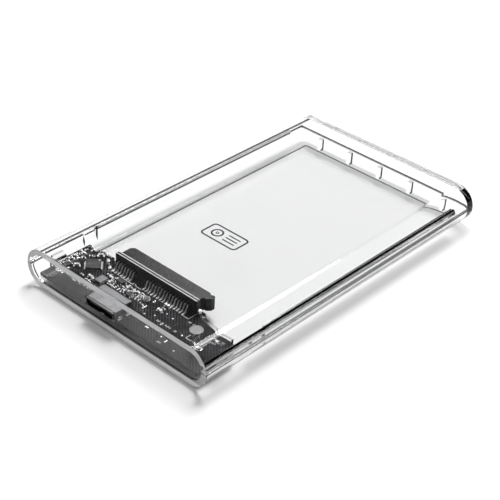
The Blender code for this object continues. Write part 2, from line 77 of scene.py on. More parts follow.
print("frame box in mm:", [[round(v / MM, 1) for v in corner] for corner in CAD_BOX])

# %% [markdown]
# ## Camera
# The view looks down on the case from its cable end, a little to the right, with a long
# lens and the camera leaning slightly, so that the long sides run up and to the right.
# A camera can be aimed with a Track To constraint, but a constraint can't lean. Here
# three directions are built from the angles and written as the camera's matrix.

# %% Camera
AZIMUTH = math.radians(40.56)
ELEVATION = math.radians(33.94)
LEAN = math.radians(-3.58)
PAN = math.radians(0.38)
TILT = math.radians(-0.03)
DISTANCE = 451 * MM
LENS = 96.2


def turned(first, second, angle):
    """Turn a pair of directions in their own plane."""
    return (math.cos(angle) * first - math.sin(angle) * second,
            math.sin(angle) * first + math.cos(angle) * second)


back = Vector((math.sin(AZIMUTH) * math.cos(ELEVATION),
               -math.cos(AZIMUTH) * math.cos(ELEVATION), math.sin(ELEVATION)))
right = Vector((math.cos(AZIMUTH), math.sin(AZIMUTH), 0))
up = back.cross(right)
camera_place = back * DISTANCE
right, up = turned(right, up, LEAN)
right, back = turned(right, back, PAN)
up, back = turned(up, back, TILT)
camera = bpy.data.objects.new("camera", bpy.data.cameras.new("camera"))
camera.data.lens = LENS
camera.data.clip_start = 10 * MM
camera.matrix_world = Matrix((right, up, back)).transposed().to_4x4()
camera.matrix_world.translation = camera_place
bpy.context.scene.collection.objects.link(camera)
bpy.context.scene.camera = camera
print("camera at mm:", [round(v / MM) for v in camera_place])

# %% [markdown]
# ## Floor
# A studio table is a sheet of matt white. A gradient backdrop would also do, but a real
# floor takes the case's shadow and shows through the clear plastic from every side. It
# lies a hair below the case, because two faces in one plane flicker in a render.

# %% Floor
FLOOR_SIZE = 1.5
FLOOR_GAP = 0.25 * MM
FLOOR_TONE = 0.93
floor_mesh = bmesh.new()
bmesh.ops.create_grid(floor_mesh, x_segments=1, y_segments=1, size=FLOOR_SIZE)
floor_data = bpy.data.meshes.new("floor")
floor_mesh.to_mesh(floor_data)
floor_mesh.free()
floor = bpy.data.objects.new("floor", floor_data)
floor.location.z = -FLOOR_GAP
bpy.context.scene.collection.objects.link(floor)
floor_paint = bpy.data.materials.new("floor_paint")
floor_paint.use_nodes = True
floor_shader = floor_paint.node_tree.nodes["Principled BSDF"]
floor_shader.inputs["Base Color"].default_value = (FLOOR_TONE, FLOOR_TONE, FLOOR_TONE, 1)
floor_shader.inputs["Roughness"].default_value = 0.9
floor_shader.inputs["Specular IOR Level"].default_value = 0.05
floor.data.materials.append(floor_paint)
print("floor at mm:", round(floor.location.z / MM, 2))

# %% [markdown]
# ## Light
# Clear plastic shows only what it bends and mirrors, so the sky matters more than the
# lamp. A plain white sky would make the case vanish. This one is dark all round, up to
# a little under 40 degrees above the horizon: an edge of the case bends the view
# sideways, and the dark that it finds there draws the outline. The lamp is high up
# behind the case, so that the shadow falls towards the viewer, and wide, so that the
# shadow is soft. It keeps clear of the spot that the flat lid mirrors to the camera.

# %% Sky with a dark band
SKY_LOW = 0.11
SKY_BRIGHT = 0.5
DARK_UP_TO = 0.60           # both are heights on a unit sphere
BRIGHT_FROM = 0.72
world = bpy.data.worlds.new("studio")
bpy.context.scene.world = world
world.use_nodes = True
sky_tree = world.node_tree
sky_place = sky_tree.nodes.new("ShaderNodeTexCoord")
sky_split = sky_tree.nodes.new("ShaderNodeSeparateXYZ")
sky_band = sky_tree.nodes.new("ShaderNodeValToRGB")
for stop, height, tone in zip(sky_band.color_ramp.elements, (DARK_UP_TO, BRIGHT_FROM),
                              (SKY_LOW, SKY_BRIGHT)):
    stop.position = height
    stop.color = (tone, tone, tone, 1)
sky_tree.links.new(sky_place.outputs["Generated"], sky_split.inputs["Vector"])
sky_tree.links.new(sky_split.outputs["Z"], sky_band.inputs["Fac"])
sky_tree.links.new(sky_band.outputs["Color"], sky_tree.nodes["Background"].inputs["Color"])
print("sky is dark up to degrees:", round(math.degrees(math.asin(DARK_UP_TO))))

# %% Lamp
KEY_PLACE = Vector((-0.31, 0.49, 0.92))
KEY_SIZE = 0.45
KEY_POWER = 13.7
key_data = bpy.data.lights.new("key", "AREA")
key_data.size = KEY_SIZE
key_data.energy = KEY_POWER
key = bpy.data.objects.new("key", key_data)
key.location = KEY_PLACE
key.rotation_euler = (-KEY_PLACE).to_track_quat("-Z", "Y").to_euler()
bpy.context.scene.collection.objects.link(key)
bpy.context.scene.view_settings.view_transform = "Standard"
print("lamp size and distance in mm:", round(KEY_SIZE / MM), round(KEY_PLACE.length / MM))

# %% [markdown]
# ## Finishes
# Every surface is a Principled shader. A perfectly even roughness looks like computer
# plastic. A painted map would break it up, but needs an image. One shared node group,
# fine_grain, makes the variation from noise instead, and each material places the group
# with its own scale, range and stretch.


# %% Shared grain group
def grain_group():
    """Noise between two levels, on the piece's own coordinates."""
    group = bpy.data.node_groups.new("fine_grain", "ShaderNodeTree")
    for label, start in (("Scale", 1000.0), ("Low", 0.3), ("High", 0.5), ("Stretch", 1.0)):
        socket = group.interface.new_socket(label, in_out="INPUT", socket_type="NodeSocketFloat")
        socket.default_value = start
    group.interface.new_socket("Value", in_out="OUTPUT", socket_type="NodeSocketFloat")
    nodes = group.nodes
    given = nodes.new("NodeGroupInput")
    made = nodes.new("NodeGroupOutput")
    place = nodes.new("ShaderNodeTexCoord")
    stretch = nodes.new("ShaderNodeCombineXYZ")
    stretch.inputs["Y"].default_value = 1
    stretch.inputs["Z"].default_value = 1
    scaled = nodes.new("ShaderNodeVectorMath")
    scaled.operation = "MULTIPLY"
    noise = nodes.new("ShaderNodeTexNoise")
    noise.inputs["Detail"].default_value = 3
    spread = nodes.new("ShaderNodeMapRange")
    spread.inputs["From Min"].default_value = 0.3
    spread.inputs["From Max"].default_value = 0.7
    join = group.links.new
    join(given.outputs["Stretch"], stretch.inputs["X"])
    join(place.outputs["Object"], scaled.inputs[0])
    join(stretch.outputs["Vector"], scaled.inputs[1])
    join(scaled.outputs["Vector"], noise.inputs["Vector"])
    join(given.outputs["Scale"], noise.inputs["Scale"])
    join(noise.outputs["Fac"], spread.inputs["Value"])
    join(given.outputs["Low"], spread.inputs["To Min"])
    join(given.outputs["High"], spread.inputs["To Max"])
    join(spread.outputs["Result"], made.inputs["Value"])
    return group


FINE_GRAIN = grain_group()
print("grain inputs:", [item.name for item in FINE_GRAIN.interface.items_tree if item.in_out == "INPUT"])


# %% Finish helpers
GRAIN_DEPTH = 0.02 * MM


def principled(material):
    """The Principled shader's inputs."""
    return material.node_tree.nodes["Principled BSDF"].inputs


def grain(material, scale, low, high, stretch=1.0):
    """Place the shared grain in a material and return its output."""
    node = material.node_tree.nodes.new("ShaderNodeGroup")
    node.node_tree = FINE_GRAIN
    node.inputs["Scale"].default_value = scale
    node.inputs["Low"].default_value = low
    node.inputs["High"].default_value = high
    node.inputs["Stretch"].default_value = stretch
    return node.outputs["Value"]


def finish(name, colour, roughness, metallic=0.0, scale=1500.0, depth=0.0, stretch=1.0):
    """A Principled finish: roughness wanders between two levels, and depth gives it a grain."""
    made = bpy.data.materials.new(name)
    made.use_nodes = True
    tree = made.node_tree
    inputs = principled(made)
    inputs["Base Color"].default_value = (*colour, 1)
    inputs["Metallic"].default_value = metallic
    tree.links.new(grain(made, scale, *roughness, stretch), inputs["Roughness"])
    if depth:
        bump = tree.nodes.new("ShaderNodeBump")
        bump.inputs["Strength"].default_value = depth
        bump.inputs["Distance"].default_value = GRAIN_DEPTH
        tree.links.new(grain(made, scale, 0, 1, stretch), bump.inputs["Height"])
        tree.links.new(bump.outputs["Normal"], inputs["Normal"])
    return made


def shaded(material, scale, dark, light):
    """Let a material's colour wander between two tones."""
    tree = material.node_tree
    tones = tree.nodes.new("ShaderNodeMix")
    tones.data_type = "RGBA"
    tones.inputs["A"].default_value = (*dark, 1)
    tones.inputs["B"].default_value = (*light, 1)
    tree.links.new(grain(material, scale, 0, 1), tones.inputs["Factor"])
    tree.links.new(tones.outputs["Result"], principled(material)["Base Color"])


# %% [markdown]
# ### Clear plastic
# The plastic bends light as glass does. Real polycarbonate has an index of 1.58, and a
# lower one is used here, which mirrors less. A moulded shell is nearly perfect, with a
# very slow ripple where the melt flowed, so the bump is faint.
# A path tracer finds lamps badly through bent glass, which leaves the inside too dark.
# Many more samples would cure that slowly. The Light Path node does it at once: the rays
# that carry lamp light to and from dull surfaces pass straight through, a little dimmed
# face on and stopped where they meet a wall edge on. The mirror part of the gloss is
# turned down with the tint, or the white floor, mirrored in the end wall, would veil the
# black board behind it.

# %% Clear plastic
CLEAR_IOR = 1.45
CLEAR_MIRROR = 0.2
LIGHT_PASSED = 0.975
LIGHT_AT_EDGES = 0.0
EDGE_SHARPNESS = 2.5
CLEAR = finish("clear_plastic", (0.985, 0.987, 0.99), (0.0, 0.02), scale=90, depth=0.05)
principled(CLEAR)["Transmission Weight"].default_value = 1
principled(CLEAR)["IOR"].default_value = CLEAR_IOR
principled(CLEAR)["Specular Tint"].default_value = (CLEAR_MIRROR, CLEAR_MIRROR, CLEAR_MIRROR, 1)
clear_tree = CLEAR.node_tree
edge_on = clear_tree.nodes.new("ShaderNodeLayerWeight")
edge_on.inputs["Blend"].default_value = 0.5
sharper = clear_tree.nodes.new("ShaderNodeMath")
sharper.operation = "POWER"
sharper.inputs[1].default_value = EDGE_SHARPNESS
passed = clear_tree.nodes.new("ShaderNodeMix")
passed.data_type = "RGBA"
passed.inputs["A"].default_value = (LIGHT_PASSED, LIGHT_PASSED, LIGHT_PASSED, 1)
passed.inputs["B"].default_value = (LIGHT_AT_EDGES, LIGHT_AT_EDGES, LIGHT_AT_EDGES, 1)
passing = clear_tree.nodes.new("ShaderNodeBsdfTransparent")
light_rays = clear_tree.nodes.new("ShaderNodeLightPath")
either = clear_tree.nodes.new("ShaderNodeMath")
either.operation = "MAXIMUM"
lets_through = clear_tree.nodes.new("ShaderNodeMixShader")
clear_join = clear_tree.links.new
clear_join(edge_on.outputs["Facing"], sharper.inputs[0])
clear_join(sharper.outputs["Value"], passed.inputs["Factor"])
clear_join(passed.outputs["Result"], passing.inputs["Color"])
clear_join(light_rays.outputs["Is Shadow Ray"], either.inputs[0])
clear_join(light_rays.outputs["Is Diffuse Ray"], either.inputs[1])
clear_join(either.outputs["Value"], lets_through.inputs["Fac"])
clear_join(clear_tree.nodes["Principled BSDF"].outputs["BSDF"], lets_through.inputs[1])
clear_join(passing.outputs["BSDF"], lets_through.inputs[2])
clear_join(lets_through.outputs["Shader"], clear_tree.nodes["Material Output"].inputs["Surface"])
print("clear plastic has nodes:", len(clear_tree.nodes))

# %% [markdown]
# ### Frosted rim
# The end faces round the sockets, where the mould halves met, are satin, not polished.
# They scatter light, so they read as bands round the clear walls. The floor's own edge
# gets a paler copy of the satin finish. This is a painted glow, standing for the light
# that the edge collects from inside the floor. Both could be thin pieces laid on the
# rim, but a second finish on the rim's own faces adds no seam.

# %% Frosted rim
FROSTED = finish("frosted_rim", (0.6, 0.6, 0.6), (0.35, 0.6), scale=900, depth=0.3, stretch=0.15)
principled(FROSTED)["Transmission Weight"].default_value = 0.35
# a paler copy of the frosted finish: painted glow for light collected inside the floor
EDGE_PAINTED_GLOW = finish("painted_edge_glow", (0.95, 0.95, 0.95), (0.35, 0.6), scale=900, depth=0.3, stretch=0.15)
print("rim finishes:", FROSTED.name, EDGE_PAINTED_GLOW.name)

# %% [markdown]
# ### Mouldings, metals and ceramics
# The board carries glass-filled black plastic, plated steel, solder, ferrite and fired
# ceramic. Each is the same recipe with its own values. A metal's colour is its mirror
# colour, and plated steel's is set far darker than real steel's. This is a painted
# reflection, standing for the dim room that polished steel mirrors. The blacks
# keep little mirror gloss, or the bright sky would turn them grey.

# %% Mouldings, metals and ceramics
BLACK = finish("socket_black", (0.016, 0.016, 0.017), (0.2, 0.34), scale=2500, depth=0.3)
CHIP = finish("chip_black", (0.03, 0.03, 0.033), (0.24, 0.36), scale=5000, depth=0.5)
# dark mirror colour: a painted reflection of a dim room, far darker than real steel
STEEL = finish("plated_steel", (0.08, 0.08, 0.083), (0.28, 0.46), metallic=1, scale=2500,
               depth=0.2, stretch=0.1)
TIN = finish("tinned_metal", (0.6, 0.6, 0.59), (0.18, 0.4), metallic=1, scale=3000, depth=0.3)
CONTACT = finish("contact_spring", (0.5, 0.5, 0.49), (0.25, 0.4), metallic=1, scale=3000)
GOLD = finish("gold_plate", (0.8, 0.74, 0.62), (0.15, 0.3), metallic=1, scale=3000)
CERAMIC = finish("ceramic_brown", (0.3, 0.29, 0.28), (0.3, 0.5), scale=4000, depth=0.2)
shaded(CERAMIC, 900, (0.2, 0.19, 0.18), (0.42, 0.41, 0.4))
FERRITE = finish("ferrite_grey", (0.12, 0.12, 0.13), (0.45, 0.7), scale=4000, depth=0.5)
RESIST = finish("resistor_black", (0.02, 0.02, 0.022), (0.2, 0.3), scale=3000)
LAMP_WHITE = finish("lamp_white", (0.88, 0.88, 0.84), (0.15, 0.3), scale=2000)
SILK = finish("silkscreen_white", (0.8, 0.8, 0.8), (0.5, 0.7), scale=4000)
PRINT = finish("printed_mark", (0.008, 0.008, 0.008), (0.3, 0.4), scale=2000)
# near-white: a painted highlight, laid as two strips along the drive socket's top edges
HIGHLIGHT_WHITE = finish("painted_highlight", (0.95, 0.95, 0.95), (0.12, 0.25), scale=2000)
PIPE_FACE = finish("pipe_face", (0.17, 0.17, 0.17), (0.25, 0.45), scale=1500, depth=0.2)
principled(PIPE_FACE)["Transmission Weight"].default_value = 0.1
for dull in (BLACK, CHIP, FERRITE, PRINT, PIPE_FACE):
    principled(dull)["Specular IOR Level"].default_value = 0.15
print("finishes so far:", len(bpy.data.materials))

# %% [markdown]
# ### Board
# Under black solder mask the copper shows as slightly raised, slightly lighter tracks.
# Real tracks could be modelled as strips, but they are thinner than a hair and there are
# hundreds. A brick pattern turned by 45 degrees gives bundles of parallel tracks, and a
# slow noise keeps them in patches, as a router would leave them.

# %% Board finish
TRACK_LENGTH = 7 * MM
TRACK_PITCH = 0.9 * MM
TRACK_WIDTH = 0.14 * MM
MASK_TONE = (0.008, 0.008, 0.009, 1)
TRACK_TONE = (0.065, 0.065, 0.068, 1)
BOARD = finish("board_black", (0.02, 0.02, 0.022), (0.12, 0.24), scale=1200)
principled(BOARD)["Specular IOR Level"].default_value = 0.06
board_tree = BOARD.node_tree
board_place = board_tree.nodes.new("ShaderNodeTexCoord")
board_turn = board_tree.nodes.new("ShaderNodeMapping")
board_turn.inputs["Rotation"].default_value = (0, 0, math.radians(45))
tracks = board_tree.nodes.new("ShaderNodeTexBrick")
tracks.inputs["Scale"].default_value = 1
tracks.inputs["Brick Width"].default_value = TRACK_LENGTH
tracks.inputs["Row Height"].default_value = TRACK_PITCH
tracks.inputs["Mortar Size"].default_value = TRACK_WIDTH
tracks.inputs["Mortar Smooth"].default_value = 0.1
patches = grain(BOARD, 160, 0, 1)
cover = board_tree.nodes.new("ShaderNodeMath")
cover.operation = "MULTIPLY"
copper = board_tree.nodes.new("ShaderNodeMix")
copper.data_type = "RGBA"
copper.inputs["A"].default_value = MASK_TONE
copper.inputs["B"].default_value = TRACK_TONE
board_bump = board_tree.nodes.new("ShaderNodeBump")
board_bump.inputs["Distance"].default_value = 0.03 * MM
board_bump.inputs["Strength"].default_value = 0.6
board_join = board_tree.links.new
board_join(board_place.outputs["Object"], board_turn.inputs["Vector"])
board_join(board_turn.outputs["Vector"], tracks.inputs["Vector"])
board_join(tracks.outputs["Fac"], cover.inputs[0])
board_join(patches, cover.inputs[1])
board_join(cover.outputs["Value"], copper.inputs["Factor"])
board_join(copper.outputs["Result"], principled(BOARD)["Base Color"])
board_join(cover.outputs["Value"], board_bump.inputs["Height"])
board_join(board_bump.outputs["Normal"], principled(BOARD)["Normal"])
print("track pitch in mm:", TRACK_PITCH / MM)

# %% Which finish each slot of the frame takes
FINISH_OF_SLOT = {
    "clear_plastic": CLEAR, "board_black": BOARD, "socket_black": BLACK,
    "plated_steel": STEEL, "tinned_metal": TIN, "chip_black": CHIP,
    "ceramic_brown": CERAMIC, "ferrite_grey": FERRITE, "lamp_white": LAMP_WHITE,
}
print("slots without a finish:", sorted(set(SLOT_OF_NODE.values()) - set(FINISH_OF_SLOT)))

# %% [markdown]
# ## Rounded mouldings
# A moulded or stamped edge is never razor sharp: the small round is what catches the
# light. The large pieces could be modelled anew, but their shape is already right. So
# each is a copy of its frame node, merged into whole faces and given a bevel. Weighted
# normals keep the flat faces flat next to the rounds.

# %% Make and refine pieces
MERGE = 0.002 * MM
FLAT_WITHIN = math.radians(0.5)
SHARP_FROM = math.radians(30)


def link(name, bm, material, body="base"):
    """Make a finished piece from a bmesh and let it ride on a body."""
    data = bpy.data.meshes.new(name)
    bm.to_mesh(data)
    bm.free()
    made = bpy.data.objects.new(name, data)
    data.materials.append(material)
    bpy.context.scene.collection.objects.link(made)
    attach(made, body)
    print(name, "faces:", len(data.polygons))
    return made


def soften(made, width, segments):
    """Round the sharp edges of a piece and keep its flat faces flat."""
    bevel = made.modifiers.new("round_edge", "BEVEL")
    bevel.width = width
    bevel.segments = segments
    bevel.limit_method = "ANGLE"
    bevel.angle_limit = SHARP_FROM
    made.data.shade_smooth()
    weighted = made.modifiers.new("flat_faces", "WEIGHTED_NORMAL")
    weighted.weight = 100


def refined(node, width, segments=2):
    """A copy of a frame node with merged, rounded and smoothly shaded edges."""
    bm = bmesh.new()
    bm.from_mesh(NODES[node].data)
    bmesh.ops.remove_doubles(bm, verts=bm.verts, dist=MERGE)
    bmesh.ops.dissolve_limit(bm, angle_limit=FLAT_WITHIN, verts=bm.verts, edges=bm.edges)
    slot = SLOT_OF_NODE[node]
    made = link(node + "_finished", bm, FINISH_OF_SLOT[slot], BODY_OF_NODE[node])
    soften(made, width, segments)
    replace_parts(made, node)
    return made


# %% [markdown]
# ### Two finishes on one shell
# The rim is one face of each shell. It is cut at the level of the tray's floor with
# bisect_plane, and each half takes its own material index. A separate piece for the pale
# half would need its own edges to hide the joint.

# %% Shells
FLOOR_TOP = 2 * MM
FACE_NEAR = 0.1 * MM


def frost_rim(made):
    """Frost the end faces round the sockets, and give the floor's own edge a painted glow: a paler copy
    of the finish.
    """
    made.data.materials.append(FROSTED)
    made.data.materials.append(EDGE_PAINTED_GLOW)
    bm = bmesh.new()
    bm.from_mesh(made.data)
    near = CAD_BOX[0][1]

    def at_rim(face):
        return abs(face.calc_center_median().y - near) < FACE_NEAR

    rim = [face for face in bm.faces if at_rim(face) and face.normal.y < -0.99]
    edges = {edge for face in rim for edge in face.edges}
    verts = {vert for face in rim for vert in face.verts}
    cut = bmesh.ops.bisect_plane(bm, geom=rim + list(edges) + list(verts),
                                 plane_co=(0, near, FLOOR_TOP), plane_no=(0, 0, 1))
    for face in cut["geom"]:
        if isinstance(face, bmesh.types.BMFace) and at_rim(face):
            # index 2, the floor's own edge, takes the paler copy: a painted glow
            face.material_index = 1 if face.calc_center_median().z > FLOOR_TOP else 2
    bm.to_mesh(made.data)
    bm.free()


frost_rim(refined("base_tray", 0.2 * MM))
frost_rim(refined("lid", 0.2 * MM))

# %% Board, sockets and light pipe
refined("circuit_board", 0.05 * MM, 1)
refined("sata_housing", 0.12 * MM)
refined("usb_shell", 0.08 * MM)
refined("usb_insulator", 0.05 * MM, 1)
light_pipe = refined("light_pipe", 0.12 * MM)
light_pipe.data.materials.append(PIPE_FACE)
pipe_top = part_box("light_pipe")[1][2]
for face in light_pipe.data.polygons:
    if face.normal.z > 0.99 and face.center.z > pipe_top - FACE_NEAR:
        face.material_index = 1

# %% Finishes of the frame nodes that stay
for node, cad in NODES.items():
    cad.data.materials.clear()
    cad.data.materials.append(CONTACT if "_contact_" in node else FINISH_OF_SLOT[SLOT_OF_NODE[node]])
print("frame nodes finished:", len(NODES))

# %% [markdown]
# ## Small parts on the board
# A ceramic capacitor or a resistor is a body between two tinned ends, standing on
# solder. A particle system could strew copies of one, but they would not meet their
# solder. Here each frame node says where one is: its corners give the length, the width
# and the direction, so the detailed part lands exactly on it.


# %% Read a block's place and direction
class Block:
    """Centre of the underside, directions and size of a box-shaped node."""

    def __init__(self, centre, along, length=0, width=0, height=0):
        self.centre = centre
        self.along = along
        self.across = Vector((-along.y, along.x, 0))
        self.length = length
        self.width = width
        self.height = height


def block_of(node):
    """Measure a box-shaped node from its underside corners."""
    same = 0.01 * MM
    corners = [vert.co for vert in NODES[node].data.vertices]
    low = min(corner.z for corner in corners)
    high = max(corner.z for corner in corners)
    base = []
    for corner in corners:
        if corner.z < low + same and all((corner - known).length > same for known in base):
            base.append(corner.copy())
    first = base[0]
    others = sorted(base[1:], key=lambda corner: (corner - first).length)
    short, long = others[0] - first, others[1] - first
    centre = sum(base, Vector()) / len(base)
    return Block(centre, long.normalized(), long.length, short.length, high - low)


def add_block(bm, block, shift, size, lift=0.0, round_edge=0.0):
    """Add a box in a block's own directions: shift along and across, then size."""
    centre = block.centre + shift[0] * block.along + shift[1] * block.across
    centre.z += lift + size[2] / 2
    turn = Matrix((block.along, block.across, Vector((0, 0, 1)))).transposed().to_4x4()
    place = Matrix.Translation(centre) @ turn @ Matrix.Diagonal((*size, 1))
    made = bmesh.ops.create_cube(bm, size=1, matrix=place)
    if round_edge:
        edges = {edge for vert in made["verts"] for edge in vert.link_edges}
        bmesh.ops.bevel(bm, geom=list(edges), offset=round_edge, segments=2, affect="EDGES",
                        profile=0.5, material=-1)


# %% [markdown]
# ### Free places
# Between the parts that the frame names, a real board is crowded with still smaller
# ones. They are scattered with a fixed seed, so that every run gives the same board, and
# a place counts as free only if it keeps clear of the circles that cover what is there.

# %% Layout of the extra small parts
BOARD_LOW, BOARD_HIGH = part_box("circuit_board")
BOARD_TOP = BOARD_HIGH[2]
PAD_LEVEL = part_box("bridge_chip")[0][2]
ON_BOARD = BOARD_TOP - PAD_LEVEL        # from the parts' feet down to the board
CAPACITORS = sorted(node for node in NODES if node.startswith("capacitor_"))
RESISTORS = sorted(node for node in NODES if node.startswith("resistor_"))
CROWD_LEFT = 1.2 * MM                   # the crowded area, from the board's left front corner
CROWD_RIGHT = 34 * MM
CROWD_FRONT = 6.2 * MM
CROWD_REAR = 20.6 * MM
EXTRA_PARTS = 34
EXTRA_REACH = 0.62 * MM
EXTRA_SIZE = (0.9 * MM, 0.5 * MM, 0.35 * MM)
TALLEST = 8 * MM
CIRCLE_PITCH = 2 * MM
CIRCLE_MARGIN = 0.3 * MM
TRIES = 6000


def taken_circles():
    """Circles on the board that other pieces already cover."""
    circles = []
    for node in NODES:
        low, high = (Vector(corner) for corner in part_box(node))
        on_board = low.z > BOARD_LOW[2] and high.z < BOARD_TOP + TALLEST
        if node in ("base_tray", "lid", "circuit_board") or not on_board:
            continue
        size = high - low
        steps = max(1, round(max(size.x, size.y) / CIRCLE_PITCH))
        radius = min(size.x, size.y) / 2 + CIRCLE_MARGIN
        for i in range(steps):
            for j in range(steps):
                x = low.x + size.x * (i + 0.5) / steps
                y = low.y + size.y * (j + 0.5) / steps
                circles.append((x, y, min(radius, size.length / 2)))
    return circles


def scatter(count, reach, circles, seed, area):
    """Seeded free places for parts of a given reach, with a turn for each."""
    chance = random.Random(seed)
    found = []
    for _ in range(TRIES):
        if len(found) == count:
            break
        x = chance.uniform(area[0], area[1])
        y = chance.uniform(area[2], area[3])
        turn = chance.choice((0, 0, 90, 90, 45, -45))
        if all(math.hypot(x - cx, y - cy) > reach + radius for cx, cy, radius in circles):
            found.append((x, y, math.radians(turn)))
            circles.append((x, y, reach))
    return found


CIRCLES = taken_circles()
CROWD = (BOARD_LOW[0] + CROWD_LEFT, BOARD_LOW[0] + CROWD_RIGHT,
         BOARD_LOW[1] + CROWD_FRONT, BOARD_LOW[1] + CROWD_REAR)
EXTRAS = scatter(EXTRA_PARTS, EXTRA_REACH, CIRCLES, 5, CROWD)
print("extra small parts placed:", len(EXTRAS))

# %% Build the small parts
BODY_ROUND = 0.03 * MM
END_ROUND = 0.05 * MM
END_PROUD = (1.04, 1.03)                # the tinned ends stand over the body
SOLDER_SPREAD = (1.8, 1.3)              # solder against the end's length and the body's width
SOLDER_RISE = 0.06 * MM
SOLDER_ROUND = 0.02 * MM


def small_part(body, ends, solder, block, share):
    """A body between two tinned ends on solder."""
    cap = block.length * share
    add_block(body, block, (0, 0), (block.length - 2 * cap, block.width, block.height),
              round_edge=BODY_ROUND)
    for side in (-1, 1):
        add_block(ends, block, (side * (block.length - cap) / 2, 0),
                  (cap, block.width * END_PROUD[0], block.height * END_PROUD[1]), round_edge=END_ROUND)
        add_block(solder, block, (side * block.length / 2, 0),
                  (cap * SOLDER_SPREAD[0], block.width * SOLDER_SPREAD[1],
                   PAD_LEVEL - BOARD_TOP + SOLDER_RISE),
                  lift=ON_BOARD, round_edge=SOLDER_ROUND)


capacitor_bodies, resistor_bodies, part_ends, part_solder = (bmesh.new() for _ in range(4))
for node in CAPACITORS:
    small_part(capacitor_bodies, part_ends, part_solder, block_of(node), 0.24)
for node in RESISTORS:
    small_part(resistor_bodies, part_ends, part_solder, block_of(node), 0.22)
for index, (x, y, turn) in enumerate(EXTRAS):
    along = Vector((math.cos(turn), math.sin(turn), 0))
    block = Block(Vector((x, y, PAD_LEVEL)), along, *EXTRA_SIZE)
    bodies = capacitor_bodies if index % 3 else resistor_bodies
    small_part(bodies, part_ends, part_solder, block, 0.27)
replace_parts(link("capacitors", capacitor_bodies, CERAMIC), *CAPACITORS)
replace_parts(link("resistors", resistor_bodies, RESIST), *RESISTORS)
link("part_ends", part_ends, TIN)
link("part_solder", part_solder, TIN)

# %% [markdown]
# ## Chips
# A chip is a moulded block with soft edges, a printed dot by pin one and metal at its
# foot. The bridge chip is square, set on its corner, with pads on four sides, and the
# others have bent leads along two sides. A lead could be one bent strip. Three small
# steps read the same at this size, and they need only the block's own directions.

# %% Chip helpers
CHIP_ROUND = 0.06 * MM
PAD = (0.26 * MM, 0.55 * MM, 0.18 * MM)
PAD_UNDER = 0.05 * MM
LEAD_WIDTH = 0.3 * MM
LEAD_FROM = 0.45                        # share of the chip's height where a lead comes out


def chip(node):
    """A moulded block with softened edges, standing for its node."""
    block = block_of(node)
    bm = bmesh.new()
    add_block(bm, block, (0, 0), (block.length, block.width, block.height), round_edge=CHIP_ROUND)
    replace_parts(link(node + "_body", bm, CHIP), node)
    return block


def side_pads(bm, block, count, pitch):
    """Pads at the foot of a block's four sides."""
    for quarter in range(4):
        turn = Matrix.Rotation(quarter * math.pi / 2, 3, "Z")
        side = Block(block.centre, turn @ block.along)
        for i in range(count):
            along = (i - (count - 1) / 2) * pitch
            add_block(bm, side, (along, block.width / 2 + PAD[1] / 2 - PAD_UNDER), PAD,
                      lift=ON_BOARD, round_edge=SOLDER_ROUND)


def gull_leads(bm, block, count, pitch):
    """Flat leads that step down from a block's two long sides."""
    rise = block.height * LEAD_FROM
    # each step: how far out, its depth, its height, and the level of its underside
    steps = ((0.1 * MM, 0.24 * MM, 0.14 * MM, rise),
             (0.24 * MM, 0.12 * MM, rise + 0.1 * MM, 0.02 * MM),
             (0.42 * MM, 0.4 * MM, 0.13 * MM, ON_BOARD))
    for side in (-1, 1):
        for i in range(count):
            along = (i - (count - 1) / 2) * pitch
            for out, depth, height, lift in steps:
                add_block(bm, block, (along, side * block.width / 2 + side * out),
                          (LEAD_WIDTH, depth, height), lift=lift)


# %% Chips
BRIDGE_PADS = (9, 0.5 * MM)
LEADS = (("memory_chip", 4, 0.65 * MM), ("regulator", 3, 0.95 * MM), ("surge_protector", 3, 0.72 * MM))
DOT_RADIUS = 0.28 * MM
DOT_FROM_EDGE = 0.7 * MM
DOT_HEIGHT = 0.02 * MM
chip_metal = bmesh.new()
chip_marks = bmesh.new()
side_pads(chip_metal, chip("bridge_chip"), *BRIDGE_PADS)
for node, count, pitch in LEADS:
    gull_leads(chip_metal, chip(node), count, pitch)
link("chip_leads", chip_metal, TIN)
for node in ("bridge_chip", "memory_chip"):
    block = block_of(node)
    dot = Matrix.Translation(block.centre + (block.length * 0.5 - DOT_FROM_EDGE) * block.along
                             + (block.width * 0.5 - DOT_FROM_EDGE) * block.across
                             + Vector((0, 0, block.height)))
    bmesh.ops.create_cone(chip_marks, cap_ends=True, segments=20, radius1=DOT_RADIUS,
                          radius2=DOT_RADIUS, depth=DOT_HEIGHT, matrix=dot)
link("chip_marks", chip_marks, SILK)

# %% [markdown]
# ## Crystal
# The clock crystal sits in a pressed metal can with a flange at its foot. A bevelled box
# alone would lose the flange, so a low wide box carries a higher narrow one.

# %% Crystal
FLANGE = 0.25 * MM
crystal = block_of("crystal_can")
crystal_metal = bmesh.new()
add_block(crystal_metal, crystal, (0, 0), (crystal.length, crystal.width, crystal.height * 0.4),
          round_edge=0.05 * MM)
add_block(crystal_metal, crystal, (0, 0),
          (crystal.length - 2 * FLANGE, crystal.width - 2 * FLANGE, crystal.height * 0.7),
          lift=crystal.height * 0.3, round_edge=0.14 * MM)
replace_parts(link("crystal_can_finished", crystal_metal, STEEL), "crystal_can")

# %% [markdown]
# ## Choke coil
# Enamelled wire is wound round a ferrite drum. A helix would model every turn, but only
# a ring of bright humps shows between the drum's foot and its small head. A ring of
# stretched balls gives just that with few faces.

